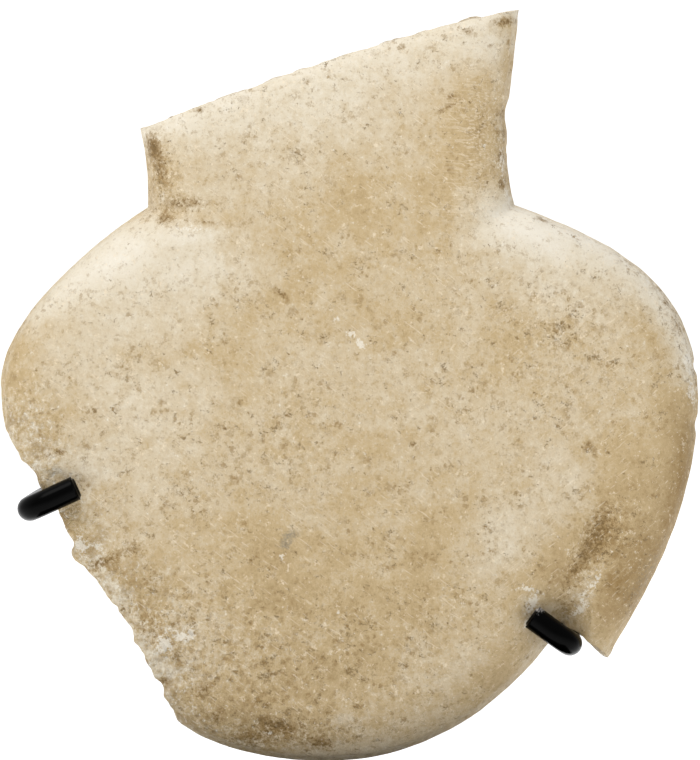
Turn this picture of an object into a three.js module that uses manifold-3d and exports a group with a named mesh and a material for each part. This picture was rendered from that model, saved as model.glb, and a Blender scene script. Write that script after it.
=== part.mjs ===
// A flat marble idol, broken at the neck and down one side, upright in a black wire cradle.
// Millimetres, +Z up, +X to the right of a viewer who faces the idol, whose front looks along -Y.
// The origin is the centre of the foot plate's underside.
import * as THREE from "three";
import { ParametricGeometry } from "three/addons/geometries/ParametricGeometry.js";
import { mergeGeometries, mergeVertices } from "three/addons/utils/BufferGeometryUtils.js";
import Module from "manifold-3d";

const wasm = await Module();
wasm.setup();

// Driving dimensions of the idol
const IDOL_HEIGHT = 97;
const IDOL_WIDTH = 90;
const MID_THICKNESS = 14; // at the middle of the body
const FLANK_THICKNESS = 10.6; // where the rounding of the edge begins, far from the middle
const EDGE_ROUNDING = 7; // width of the rounding that was ground along every worked edge
const EDGE_LAND = 0.3; // share of the thickness that is left upright at a worked edge
const ARRIS_WEAR = 0.2; // share of the thickness worn off the arris of a break
const ARRIS_WIDTH = 1.3;
const DOME_REACH = { across: 1.04, up: 1.16 }; // the dome runs out here, in shares of the idol's size
const BACK_FLAKES = 0.6; // depth of the flakes on the back, as a share of their depth on the front

// Driving dimensions of the cradle
const WIRE_DIAMETER = 3.2;
const ROD_DIAMETER = 5;
const FOOT = { width: 80, depth: 50, thickness: 10, corner: 4, bevel: 0.8 };
const SOCKET_DEPTH = 6;
const IDOL_LIFT = 24; // idol's lowest point above the ground
const IDOL_FORWARD = 4; // idol's middle plane ahead of the foot plate's middle
const ROD_REACH = 60; // rod's top above the idol's lowest point
const GAP = 0.3; // left between pieces that touch
const FINGER_LENGTH = 6.25; // from the middle of a hook's side to the cut end on the idol's front
const BEND_RADIUS = 3;

// Detail of the faceted surfaces
const RINGS = 18; // rings of facets from the idol's middle to its edge
const RING_CROWDING = 0.45; // 0 spaces the rings evenly, 1 crowds them fully towards the edge
const RIM_ROWS = 2;
const WIRE_SIDES = 10;
const WIRE_STEP = 1.25;
const ROD_SIDES = 24;

const stone = new THREE.MeshStandardMaterial({
  name: "marble",
  color: "#cdbd98",
  roughness: 0.6,
  metalness: 0,
});
const blackPaint = new THREE.MeshStandardMaterial({
  name: "black_paint",
  color: "#0b0a0a",
  roughness: 0.4,
  metalness: 0.3,
});

// The idol's outline, seen from the front: right and up from the idol's lowest level on its middle line.
const at = (right, up) => new THREE.Vector2(right, up);
const waistNotch = at(27.5, 17.6);
const armTip = at(33.3, 13.6);
const armWidest = at(IDOL_WIDTH / 2, 46.5);
const neckRootRight = at(21.3, 71.8);
const neckBreakRight = at(21.9, IDOL_HEIGHT);
const neckBreakLeft = at(-26.9, 81.6);
const neckRootLeft = at(-26, 71.5);
const shoulderWidest = at(-IDOL_WIDTH / 2, 48.2);
const sideBreakTop = at(-44.2, 42);
const hookSeat = at(-35.7, 29);
const chipTop = at(-35.3, 26.6);
const chipFoot = at(-31.9, 22.6);
const sideBreakFoot = at(-22.2, 5.3);
const lowest = at(-3.2, 0);

// Curves between the landmarks, bent by the points in between
const line = (from, to) => new THREE.LineCurve(from, to);
const bow = (from, bent, to) => new THREE.QuadraticBezierCurve(from, bent, to);
const sweep = (from, leaving, arriving, to) => new THREE.CubicBezierCurve(from, leaving, arriving, to);
const ragged = (...points) => new THREE.SplineCurve(points);

// Counter-clockwise from the waist notch. A worked edge is ground round, a broken one keeps its wall.
const worked = (curve) => ({ broken: false, curve });
const broken = (curve) => ({ broken: true, curve });
const EDGES = [
  broken(line(waistNotch, armTip)),
  worked(sweep(armTip, at(39.6, 23.4), at(44.9, 34.2), armWidest)),
  worked(sweep(armWidest, at(44.9, 60.8), at(36.5, 66.3), neckRootRight)),
  worked(sweep(neckRootRight, at(19.4, 78.6), at(20.7, 85.8), neckBreakRight)),
  broken(ragged(neckBreakRight, at(11.7, 94.6), at(-6.4, 89), neckBreakLeft)),
  worked(bow(neckBreakLeft, at(-25.8, 76), neckRootLeft)),
  worked(sweep(neckRootLeft, at(-35.5, 65.4), at(-45.6, 55.6), shoulderWidest)),
  worked(bow(shoulderWidest, at(-44.9, 44.3), sideBreakTop)),
  broken(ragged(sideBreakTop, at(-39.4, 35.5), hookSeat, chipTop, chipFoot, at(-27.9, 16.5), sideBreakFoot)),
  worked(sweep(sideBreakFoot, at(-18.7, 2.1), at(-10.9, 0), lowest)),
  worked(sweep(lowest, at(9.8, 0), at(19.9, 6.8), waistNotch)),
];
const MIDDLE = at(0, 44); // every point of the outline is in plain sight from here

// Carved and worn-in hollows of the front: a soft trough along a line, fading from its start to its end.
const TROUGHS = [
  { from: neckRootLeft, to: at(-13, 71.2), width: 2.2, depth: 0.9 }, // root of the neck
  { from: neckRootRight, to: at(11, 69.5), width: 2.4, depth: 0.9 },
  { from: waistNotch, to: at(36, 34), width: 4, depth: 1.5 }, // fold between the arm stump and the body
];

// Flakes lost along the left break, as shallow round scoops
const FLAKES = [
  { centre: at(-41, 40), radius: 3.5, depth: 0.8 },
  { centre: at(-33, 26), radius: 6, depth: 1.6 },
  { centre: at(-28, 19), radius: 5, depth: 1.2 },
  { centre: at(-23, 11), radius: 6.5, depth: 1.7 },
  { centre: at(-12, 3), radius: 5, depth: 0.9 },
];

const clamp01 = (x) => THREE.MathUtils.clamp(x, 0, 1);

// The outline as evenly spaced points, with a point at every corner: 8 for each ring of facets.
function sampleOutline(count) {
  const lengths = EDGES.map((edge) => edge.curve.getLength());
  const whole = lengths.reduce((sum, length) => sum + length, 0);
  const points = [];
  let walked = 0;
  EDGES.forEach((edge, index) => {
    const first = Math.round((count * walked) / whole);
    walked += lengths[index];
    const steps = Math.round((count * walked) / whole) - first;
    const spaced = edge.curve.getSpacedPoints(steps).slice(0, steps);
    points.push(...spaced.map((point) => ({ point, broken: edge.broken })));
  });
  return points;
}

const outline = sampleOutline(8 * RINGS);

// Distance from a point to the straight line between two others, and how far along the line it falls.
function fromLine(point, from, to) {
  const along = to.clone().sub(from);
  const share = clamp01(point.clone().sub(from).dot(along) / along.lengthSq());
  return { distance: point.distanceTo(along.multiplyScalar(share).add(from)), share };
}

function distanceToEdge(point, broken) {
  let nearest = Infinity;
  outline.forEach((sample, index) => {
    if (sample.broken !== broken) return;
    const next = outline[(index + 1) % outline.length];
    nearest = Math.min(nearest, fromLine(point, sample.point, next.point).distance);
  });
  return nearest;
}

// Half the thickness before the hollows: a low dome, rounded off at worked edges and blunt at breaks.
function slabDepth(point) {
  const across = (2 * (point.x - MIDDLE.x)) / (DOME_REACH.across * IDOL_WIDTH);
  const up = (2 * (point.y - MIDDLE.y)) / (DOME_REACH.up * IDOL_HEIGHT);
  const crown = clamp01(1 - across * across - up * up);
  const dome = (FLANK_THICKNESS + (MID_THICKNESS - FLANK_THICKNESS) * crown) / 2;
  const inset = clamp01(distanceToEdge(point, false) / EDGE_ROUNDING);
  const rounding = EDGE_LAND + (1 - EDGE_LAND) * Math.sqrt(1 - (1 - inset) ** 2);
  const arris = 1 - ARRIS_WEAR * Math.exp(-distanceToEdge(point, true) / ARRIS_WIDTH);
  return dome * rounding * arris;
}

function flakeDepth(point) {
  return FLAKES.reduce((sum, flake) => {
    const reach = point.distanceTo(flake.centre) / flake.radius;
    return sum + flake.depth * clamp01(1 - reach * reach);
  }, 0);
}

function troughDepth(point) {
  return TROUGHS.reduce((sum, trough) => {
    const { distance, share } = fromLine(point, trough.from, trough.to);
    return sum + trough.depth * (1 - share) * Math.exp(-((distance / trough.width) ** 2));
  }, 0);
}

const frontDepth = (point) => slabDepth(point) - flakeDepth(point) - troughDepth(point);
const backDepth = (point) => slabDepth(point) - BACK_FLAKES * flakeDepth(point);

// The rings crowd together towards the edge, where the rounding is.
function ringScale(ring) {
  const share = ring / RINGS;
  return THREE.MathUtils.lerp(share, Math.sin((Math.PI / 2) * share), RING_CROWDING);
}

function onOutline(position) {
  const whole = Math.floor(position);
  const start = outline[whole % outline.length].point;
  const end = outline[(whole + 1) % outline.length].point;
  return start.clone().lerp(end, position - whole);
}

// A square of facets laid on the outline: cell (column, row) counts from -RINGS to RINGS, and each
// square ring of cells becomes the outline drawn smaller about the middle.
function insideOutline(column, row) {
  const ring = Math.max(Math.abs(column), Math.abs(row));
  if (ring === 0) return MIDDLE.clone();
  let walked = 6 * ring + (column + ring);
  if (column === ring) walked = row + ring;
  else if (row === ring) walked = 2 * ring + (ring - column);
  else if (column === -ring) walked = 4 * ring + (ring - row);
  return onOutline((walked * RINGS) / ring).lerp(MIDDLE, 1 - ringScale(ring));
}

function idolGeometry() {
  const cells = 2 * RINGS;
  const column = (share) => Math.round(share * cells) - RINGS;
  const front = new ParametricGeometry(
    (across, up, target) => {
      const point = insideOutline(column(across), column(up));
      target.set(point.x, -frontDepth(point), point.y);
    },
    cells,
    cells,
  );
  const back = new ParametricGeometry(
    (across, up, target) => {
      const point = insideOutline(-column(across), column(up));
      target.set(point.x, backDepth(point), point.y);
    },
    cells,
    cells,
  );
  const rim = new ParametricGeometry(
    (around, forward, target) => {
      const point = onOutline(Math.round(around * outline.length));
      target.set(point.x, THREE.MathUtils.lerp(backDepth(point), -frontDepth(point), forward), point.y);
    },
    outline.length,
    RIM_ROWS,
  );
  return welded(mergeGeometries([front, back, rim].map(bare)));
}

function bare(geometry) {
  geometry.deleteAttribute("normal");
  geometry.deleteAttribute("uv");
  return geometry;
}

const welded = (geometry) => mergeVertices(bare(geometry), 1e-4);

function solid(geometry) {
  const closed = welded(geometry);
  return new wasm.Manifold(
    new wasm.Mesh({
      numProp: 3,
      vertProperties: closed.getAttribute("position").array,
      triVerts: new Uint32Array(closed.index.array),
    }),
  );
}

function geometryOf(manifold) {
  const mesh = manifold.getMesh();
  return new THREE.BufferGeometry()
    .setAttribute("position", new THREE.BufferAttribute(mesh.vertProperties, 3))
    .setIndex(new THREE.BufferAttribute(mesh.triVerts, 1));
}

// The upright rod stands behind the idol's lowest point and touches the thickest part of its back.
const rod = {
  x: lowest.x,
  y: MID_THICKNESS / 2 + GAP + ROD_DIAMETER / 2,
  bottom: FOOT.thickness - SOCKET_DEPTH + GAP,
  top: IDOL_LIFT + ROD_REACH,
  chamfer: 0.6,
};

// Hooks: where the wire passes the idol's edge, and the way its front finger and its back leg point.
const HOOKS = {
  left_hook: { side: at(-41.3, 32.5), angle: 24.6, closing: 1.6 },
  right_hook: { side: at(28.75, 14.4), angle: 144, closing: 0 },
};

// A hook lies in one plane: a finger on the front, a bend, a side past the edge, a bend, and a straight leg
// to the rod. The side leans in by the closing, so the wire meets the idol's back arris.
function hookPath({ side, angle, closing }) {
  const turn = THREE.MathUtils.degToRad(angle);
  const inward = at(Math.cos(turn), Math.sin(turn));
  const along = (distance) => inward.clone().multiplyScalar(distance).add(side);
  const place = (distance, depth) => new THREE.Vector3(along(distance).x, depth, along(distance).y);
  const underFinger = [0.25, 0.5, 0.75, 1].map((share) => frontDepth(along(share * FINGER_LENGTH)));
  const frontY = -(Math.max(...underFinger) + GAP + WIRE_DIAMETER / 2);
  const reach = (rod.x - side.x) / inward.x;
  const lean = closing / (rod.y - frontY);
  const path = new THREE.CurvePath();
  const bend = (start, corner, end) => path.add(new THREE.QuadraticBezierCurve3(start, corner, end));
  const straight = (start, end) => path.add(new THREE.LineCurve3(start, end));
  const fingerEnd = place(BEND_RADIUS, frontY);
  const sideStart = place(lean * BEND_RADIUS, frontY + BEND_RADIUS);
  const sideEnd = place(closing - lean * BEND_RADIUS, rod.y - BEND_RADIUS);
  const legStart = place(closing + BEND_RADIUS, rod.y);
  straight(place(FINGER_LENGTH, frontY), fingerEnd);
  bend(fingerEnd, place(0, frontY), sideStart);
  straight(sideStart, sideEnd);
  bend(sideEnd, place(closing, rod.y), legStart);
  straight(legStart, place(reach, rod.y));
  return path;
}

// A round wire along the hook's path, its end shaped to sit against the rod.
function hookGeometry(hook, rodClearance) {
  const path = hookPath(hook);
  const section = new THREE.Shape().absarc(0, 0, WIRE_DIAMETER / 2, 0, 2 * Math.PI);
  const wire = new THREE.ExtrudeGeometry(section, {
    steps: Math.round(path.getLength() / WIRE_STEP),
    curveSegments: WIRE_SIDES / 2,
    extrudePath: path,
  });
  return geometryOf(solid(wire).subtract(rodClearance));
}

function rodGeometry(radius, bottom, top, chamfer) {
  const side = [at(radius, bottom), at(radius, top - chamfer), at(radius - chamfer, top)];
  return new THREE.LatheGeometry([at(0, bottom), ...side, at(0, top)], ROD_SIDES).rotateX(Math.PI / 2);
}

// The plate with rounded corners, a bevel all round and a blind socket for the rod.
function footGeometry() {
  const { width, depth, thickness, corner, bevel } = FOOT;
  const x = width / 2 - bevel - corner;
  const y = depth / 2 - bevel - corner;
  const plan = new THREE.Shape()
    .absarc(x, y, corner, 0, Math.PI / 2)
    .absarc(-x, y, corner, Math.PI / 2, Math.PI)
    .absarc(-x, -y, corner, Math.PI, 1.5 * Math.PI)
    .absarc(x, -y, corner, 1.5 * Math.PI, 2 * Math.PI);
  const plate = new THREE.ExtrudeGeometry(plan, {
    depth: thickness - 2 * bevel,
    bevelThickness: bevel,
    bevelSize: bevel,
    bevelSegments: 2,
    curveSegments: 5,
  }).translate(0, 0, bevel);
  const socket = rodGeometry(ROD_DIAMETER / 2 + GAP, thickness - SOCKET_DEPTH, 2 * thickness, 0);
  return geometryOf(solid(plate).subtract(solid(socket.translate(rod.x, rod.y - IDOL_FORWARD, 0))));
}

function addPiece(parent, name, geometry, material) {
  const mesh = new THREE.Mesh(geometry, material);
  mesh.name = name;
  parent.add(mesh);
  return mesh;
}

// What stands on the foot is laid out about the idol's middle plane, set forward of the foot's middle.
const part = new THREE.Group();
const idolStand = new THREE.Group();
idolStand.position.y = -IDOL_FORWARD;
part.add(idolStand);

const idol = addPiece(idolStand, "idol", idolGeometry(), stone);
idol.position.z = IDOL_LIFT;

const clearance = rodGeometry(ROD_DIAMETER / 2 + GAP, 0, rod.top, 0).translate(rod.x, rod.y, -IDOL_LIFT);
const rodClearance = solid(clearance);
for (const [name, hook] of Object.entries(HOOKS)) {
  addPiece(idolStand, name, hookGeometry(hook, rodClearance), blackPaint).position.z = IDOL_LIFT;
}

const uprightShape = rodGeometry(ROD_DIAMETER / 2, rod.bottom, rod.top, rod.chamfer);
addPiece(idolStand, "upright_rod", uprightShape, blackPaint).position.set(rod.x, rod.y, 0);
addPiece(part, "foot_plate", footGeometry(), blackPaint);

export default part;
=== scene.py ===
"""Looks of a flat marble idol that stands in a black wire cradle.

Laid out as an add-on and run as a script: each operator makes one piece, or a group of like pieces, around
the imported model, and one makes the stage. Lengths are in metres. The idol looks along -Y: +X is right and +Z
is up for a viewer who faces it.
"""
import itertools
import math

import bpy
import numpy as np
from bpy.props import FloatProperty, FloatVectorProperty, IntProperty, PointerProperty
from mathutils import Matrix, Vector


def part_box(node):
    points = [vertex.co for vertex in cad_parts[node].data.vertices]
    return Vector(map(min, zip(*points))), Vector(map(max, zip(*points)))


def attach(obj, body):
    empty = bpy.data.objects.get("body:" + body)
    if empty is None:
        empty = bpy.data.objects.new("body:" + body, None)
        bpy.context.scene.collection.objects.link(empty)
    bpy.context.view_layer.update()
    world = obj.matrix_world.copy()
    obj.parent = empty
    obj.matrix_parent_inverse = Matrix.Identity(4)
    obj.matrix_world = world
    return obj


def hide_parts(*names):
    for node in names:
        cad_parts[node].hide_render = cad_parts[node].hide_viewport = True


bl_info = {
    "name": "Marble Idol in a Wire Cradle",
    "version": (1, 0, 0),
    "blender": (4, 5, 0),
    "location": "View3D > Sidebar > Idol",
    "description": "Makes the marble idol, its wire cradle and the stage around the packed model",
    "category": "Add Mesh",
}

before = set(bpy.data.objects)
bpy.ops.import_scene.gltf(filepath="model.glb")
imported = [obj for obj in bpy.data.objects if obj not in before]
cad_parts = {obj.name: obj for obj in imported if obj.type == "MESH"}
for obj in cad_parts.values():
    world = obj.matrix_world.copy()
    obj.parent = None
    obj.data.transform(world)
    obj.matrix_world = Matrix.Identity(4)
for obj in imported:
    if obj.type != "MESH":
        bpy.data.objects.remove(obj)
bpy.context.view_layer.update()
IDOL_LOW, IDOL_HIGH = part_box("idol")
ROD_LOW, ROD_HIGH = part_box("upright_rod")
FOOT_LOW, FOOT_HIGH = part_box("foot_plate")

BODY = "root"
MM = 0.001
IDOL_MIDDLE_Y = (IDOL_LOW.y + IDOL_HIGH.y) / 2


def mm(*values):
    """Millimetres as metres."""
    return np.array(values) * MM


# The idol's outline seen from the front, right and up from its lowest level on its middle line
WAIST_NOTCH = mm(27.5, 17.6)
ARM_TIP = mm(33.3, 13.6)
ARM_WIDEST = mm(45, 46.5)
NECK_ROOT_RIGHT = mm(21.3, 71.8)
NECK_BREAK_RIGHT = mm(21.9, 97)
NECK_BREAK_LEFT = mm(-26.9, 81.6)
NECK_ROOT_LEFT = mm(-26, 71.5)
SHOULDER_WIDEST = mm(-45, 48.2)
SIDE_BREAK_TOP = mm(-44.2, 42)
HOOK_SEAT = mm(-35.7, 29)
CHIP_TOP = mm(-35.3, 26.6)
CHIP_FOOT = mm(-31.9, 22.6)
SIDE_BREAK_FOOT = mm(-22.2, 5.3)
LOWEST = mm(-3.2, 0)
MIDDLE = mm(0, 44)
RING_CENTRE = mm(0, 54)


def bezier(points, share):
    """A curve bent by its inner points: neighbours are mixed by the share, again and again, down to one."""
    layer = [np.outer(np.ones_like(share), point) for point in points]
    while len(layer) > 1:
        layer = [start + (end - start) * share[:, None] for start, end in zip(layer, layer[1:])]
    return layer[0]


def through(points, share):
    """A smooth curve through all its points: cubic pieces, with half the step between neighbours as slope."""
    points = np.array(points)
    last = len(points) - 1
    piece = np.minimum((share * last).astype(int), last - 1)
    t = (share * last - piece)[:, None]
    before, start, end, after = (points[np.clip(piece + k, 0, last)] for k in (-1, 0, 1, 2))
    leaving = (end - before) / 2
    arriving = (after - start) / 2
    cubic = 2 * (start - end) + leaving + arriving
    square = 3 * (end - start) - 2 * leaving - arriving
    return ((cubic * t + square) * t + leaving) * t + start


# Counter-clockwise from the waist notch: worked edges, and breaks of the arm stump, the neck and the side
EDGES = (
    ("stump", bezier, (WAIST_NOTCH, ARM_TIP)),
    ("worked", bezier, (ARM_TIP, mm(39.6, 23.4), mm(44.9, 34.2), ARM_WIDEST)),
    ("worked", bezier, (ARM_WIDEST, mm(44.9, 60.8), mm(36.5, 66.3), NECK_ROOT_RIGHT)),
    ("worked", bezier, (NECK_ROOT_RIGHT, mm(19.4, 78.6), mm(20.7, 85.8), NECK_BREAK_RIGHT)),
    ("neck", through, (NECK_BREAK_RIGHT, mm(11.7, 94.6), mm(-6.4, 89), NECK_BREAK_LEFT)),
    ("worked", bezier, (NECK_BREAK_LEFT, mm(-25.8, 76), NECK_ROOT_LEFT)),
    ("worked", bezier, (NECK_ROOT_LEFT, mm(-35.5, 65.4), mm(-45.6, 55.6), SHOULDER_WIDEST)),
    ("worked", bezier, (SHOULDER_WIDEST, mm(-44.9, 44.3), SIDE_BREAK_TOP)),
    (
        "side",
        through,
        (SIDE_BREAK_TOP, mm(-39.4, 35.5), HOOK_SEAT, CHIP_TOP, CHIP_FOOT, mm(-27.9, 16.5), SIDE_BREAK_FOOT),
    ),
    ("worked", bezier, (SIDE_BREAK_FOOT, mm(-18.7, 2.1), mm(-10.9, 0), LOWEST)),
    ("worked", bezier, (LOWEST, mm(9.8, 0), mm(19.9, 6.8), WAIST_NOTCH)),
)
CURVE_STEPS = 400

# How far the outline wanders off its smooth course along each kind of edge
RAGGEDNESS = {"worked": 0.05 * MM, "neck": 0.12 * MM, "stump": 0.05 * MM, "side": 0.28 * MM}

# Small bites out of the outline: right, up, radius, depth (mm)
NOTCHES = (
    (20.2, 83.6, 2.6, 0.45),
    (19.6, 79.0, 1.2, 0.3),
    (19.6, 76.6, 0.9, 0.25),
    (45.0, 51.0, 1.2, 0.3),
    (45.2, 43.5, 1.6, 0.3),
    (29.5, 16.4, 1.8, 0.3),
    (-39.5, 37.0, 1.4, 0.35),
    (-35.8, 27.8, 2.0, 0.5),
    (-30.0, 19.6, 1.3, 0.35),
    (-24.6, 9.8, 1.4, 0.4),
)

# Hollows of the front: a soft trough from one point to another, width and depth, fading along its way
TROUGHS = (
    (NECK_ROOT_LEFT, mm(-13, 71.2), 2.2 * MM, 0.9 * MM),
    (NECK_ROOT_LEFT, mm(-14.5, 69.6), 0.8 * MM, 0.35 * MM),
    (NECK_ROOT_RIGHT, mm(11, 69.5), 2.4 * MM, 0.9 * MM),
    (NECK_ROOT_RIGHT, mm(13, 66.5), 1.0 * MM, 0.35 * MM),
    (WAIST_NOTCH, mm(36, 34), 4.0 * MM, 1.5 * MM),
    (mm(33, 31.5), mm(27.5, 19), 1.4 * MM, 0.6 * MM),
)

# Flakes lost along the left break: right, up, radius, depth (mm)
FLAKES = (
    (-41, 40, 3.5, 0.8),
    (-33, 26, 6.0, 1.6),
    (-28, 19, 5.0, 1.2),
    (-23, 11, 6.5, 1.7),
    (-12, 3, 5.0, 0.9),
)
FLAKE_SHARE = {"front": 0.4, "back": 0.35}

# Marks on the front, each a soft ellipse: right, up, half length, half width (mm), turn (degrees), strength
# Dark soil, with painted shade in the fold beside the arm, along the crease at the root of the neck and under
# the step of a flake below the left hook
DIRT_AND_SHADE = (
    # left edge and root of the neck
    (-25.3, 79.3, 1.7, 1.0, 100, 1.2),
    (-24.4, 76.7, 2.0, 0.9, 100, 0.8),
    (-23.6, 74.1, 2.2, 1.4, 90, 0.35),
    (-20.9, 71.8, 2.8, 1.1, 0, 0.75),
    (-23.9, 69.9, 1.2, 0.8, 30, 0.9),
    # painted shade along the crease where the neck meets the left shoulder
    (-18.7, 69.5, 3.2, 0.3, -4, 0.7),
    # along the neck break and down its right side
    (-19.2, 83.8, 0.6, 0.4, 0, 1.0),
    (-13.8, 85.2, 1.2, 0.5, 20, 0.5),
    (-5.4, 87.4, 0.4, 0.4, 0, 0.8),
    (6.7, 92.0, 0.6, 0.4, 20, 1.0),
    (15.2, 94.0, 0.6, 0.5, 0, 1.0),
    (20.0, 95.3, 1.6, 0.6, 10, 1.0),
    (11.7, 86.3, 0.4, 0.4, 0, 0.8),
    (12.9, 85.5, 0.5, 0.35, 0, 1.0),
    (12.8, 84.3, 0.5, 0.35, 0, 1.0),
    (11.8, 83.7, 0.5, 0.35, 0, 1.0),
    (19.8, 83.6, 0.9, 0.5, 90, 0.9),
    (19.9, 81.0, 0.9, 0.5, 90, 0.9),
    (19.4, 77.9, 0.9, 0.4, 90, 0.9),
    (19.6, 74.4, 0.8, 0.5, 90, 1.0),
    (12.8, 76.0, 1.2, 1.0, 0, 0.4),
    # body
    (-8.7, 60.2, 1.6, 0.4, -42, 1.0),
    (-6.5, 65.8, 0.4, 0.35, 0, 0.9),
    (-42.7, 55.6, 0.6, 0.4, 40, 1.0),
    (-37.2, 40.0, 0.7, 0.45, 0, 0.9),
    (-38.9, 39.5, 1.5, 0.25, 10, 0.7),
    (-24.2, 46.6, 0.7, 0.3, -35, 0.8),
    (-24.5, 44.3, 0.8, 0.7, 0, 0.55),
    (-16.0, 43.0, 0.6, 0.4, 0, 0.9),
    (-14.1, 46.3, 0.5, 0.3, 90, 0.9),
    (2.0, 39.0, 0.6, 0.35, 0, 0.9),
    (-11.1, 41.3, 0.4, 0.35, 0, 0.8),
    (17.0, 51.2, 0.4, 0.3, 30, 1.0),
    (28.2, 56.0, 0.45, 0.4, 0, 1.0),
    (26.6, 55.3, 0.6, 0.3, -40, 0.9),
    (23.4, 55.9, 0.4, 0.35, 0, 0.7),
    (30.6, 40.6, 0.9, 0.7, 0, 0.85),
    (24.8, 69.9, 1.0, 0.3, -30, 0.9),
    (40.6, 59.2, 0.9, 0.5, -50, 0.7),
    # fold between the arm stump and the body: dirt, and painted shade of the fold's valley
    (32.6, 31.0, 3.4, 2.2, 55, 0.8),
    (31.2, 27.6, 2.4, 1.7, 55, 0.65),
    (28.8, 24.4, 2.8, 1.6, 60, 0.65),
    (27.6, 19.8, 1.8, 1.1, 70, 0.55),
    (25.7, 23.3, 0.35, 0.3, 0, 0.9),
    # left break and bottom
    # these two: painted shadow under the step of the flake scar below the left hook
    (-31.7, 25.8, 2.8, 0.8, 27, 0.85),
    (-27.8, 27.5, 1.3, 0.8, 20, 0.7),
    (-29.1, 19.7, 0.4, 0.35, 0, 1.2),
    (-25.8, 17.8, 2.2, 2.0, 0, 0.45),
    (-25.2, 23.6, 2.0, 1.4, 0, 0.4),
    (-18.7, 9.6, 1.3, 0.8, 20, 0.75),
    (-23.9, 10.4, 0.7, 0.5, 0, 0.9),
    (-17.2, 5.9, 0.9, 0.8, 0, 0.85),
    (-9.6, 5.1, 2.8, 0.7, -8, 0.75),
    (-12.6, 3.1, 3.2, 1.4, 0, 0.75),
    (-7.0, 3.6, 4.5, 1.5, -18, 0.6),
    (-3.2, 2.5, 1.5, 0.9, 0, 0.75),
)
# White chips, and painted highlight on the lit side of the arm's fold and along the ridge under the crease at
# the root of the neck
FRESH_AND_HIGHLIGHT = (
    (1.5, 53.7, 0.6, 0.4, -38, 1.3),
    (-1.7, 57.0, 0.6, 0.3, -32, 1.15),
    (0.5, 54.9, 0.9, 0.25, -40, 1.15),
    (-8.6, 26.6, 0.55, 0.3, -10, 1.2),
    (-34.6, 28.1, 1.0, 0.7, 100, 1.1),
    (-32.3, 27.7, 0.6, 0.5, 0, 0.8),
    (-23.9, 15.2, 1.2, 0.9, 60, 1.0),
    (-21.3, 16.2, 1.1, 0.7, 10, 0.8),
    (-20.3, 16.8, 1.2, 0.35, 80, 0.9),
    (23.5, 20.6, 1.2, 0.7, 60, 1.2),
    (22.7, 22.4, 1.4, 0.4, -10, 1.0),
    (22.7, 18.0, 0.8, 0.4, 60, 1.1),
    # these five: white chips and painted highlight on the lit slope of the arm's fold
    (30.9, 21.9, 1.2, 0.4, 45, 0.5),
    (30.1, 19.9, 1.2, 0.35, 35, 0.55),
    (31.8, 23.6, 1.6, 0.5, 58, 0.4),
    (30.0, 21.2, 2.2, 0.5, 62, 0.3),
    (28.9, 19.2, 1.3, 0.5, 30, 0.45),
    (43.6, 51.6, 2.2, 0.9, 100, 0.8),
    (44.2, 47.3, 1.6, 0.7, 90, 0.8),
    (38.4, 61.8, 0.9, 0.5, -40, 0.6),
    # painted highlight on the ridge under the crease where the neck meets the left shoulder
    (-20.7, 68.6, 3.6, 0.4, -3, 0.7),
    (19.6, 77.3, 2.2, 0.4, 90, 0.7),
    (20.4, 72.8, 1.6, 0.6, 110, 0.8),
    (16.9, 79.3, 1.4, 0.25, 10, 0.6),
    (-1.6, 19.5, 0.5, 0.4, 0, 0.7),
    (-10.3, 3.8, 0.8, 0.3, -20, 0.6),
)
# Lighter marks: cleaner stone, and painted highlight on the upper rims of the shoulders and the neck, in the
# corners where the neck meets the shoulders, over the flakes of the left break against their shade, and on the
# lit side of the arm's fold
CLEAN_AND_HIGHLIGHT = (
    (-30.5, 64.8, 8.0, 3.2, 36, 1.1),
    (-19.0, 67.6, 5.0, 1.2, 0, 0.8),
    (24.5, 67.6, 7.0, 2.8, -22, 1.3),
    (5.0, 88.5, 15.0, 3.0, 17, 0.45),
    (-19.0, 63.5, 9.0, 2.6, -5, 0.5),
    (18.2, 67.0, 3.0, 2.5, 0, 0.35),
    (-4.0, 82.0, 14.0, 7.0, 15, 0.4),
    (-18.0, 81.9, 7.0, 3.0, 15, 0.5),
    (-28.0, 57.0, 9.0, 6.0, 30, 0.4),
    (-26.0, 46.0, 9.0, 6.0, 0, 0.4),
    (-26.0, 35.0, 8.0, 6.0, 0, 0.2),
    (-34.0, 38.5, 5.0, 3.0, 0, 0.35),
    (19.0, 29.4, 3.5, 5.0, 0, 0.35),
    (13.0, 12.6, 7.0, 5.0, 20, 0.15),
    (27.0, 36.5, 4.0, 3.5, 0, 0.2),
    (-0.6, 5.7, 1.6, 1.0, 0, 0.5),
    (36.0, 61.5, 6.0, 3.0, -40, 0.4),
    (27.0, 60.5, 7.0, 3.0, -20, 0.3),
    (-30.4, 22.4, 4.0, 1.4, -55, 0.6),
    (-27.0, 16.0, 3.5, 1.8, -55, 0.5),
    (-24.0, 10.5, 3.0, 1.6, -60, 0.5),
    (21.5, 70.6, 3.6, 2.2, -20, 0.9),
    (-37.5, 60.0, 5.0, 1.6, 42, 0.6),
    (18.5, 92.3, 3.0, 2.0, 0, 0.5),
    (33.0, 66.5, 7.0, 2.0, -35, 0.9),
    (41.0, 57.5, 6.0, 2.0, -60, 0.8),
    (27.0, 69.5, 5.0, 1.6, -25, 0.6),
    (43.5, 51.0, 3.0, 1.6, 90, 0.7),
    (30.7, 22.0, 3.4, 1.1, 60, 0.5),
)
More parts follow.
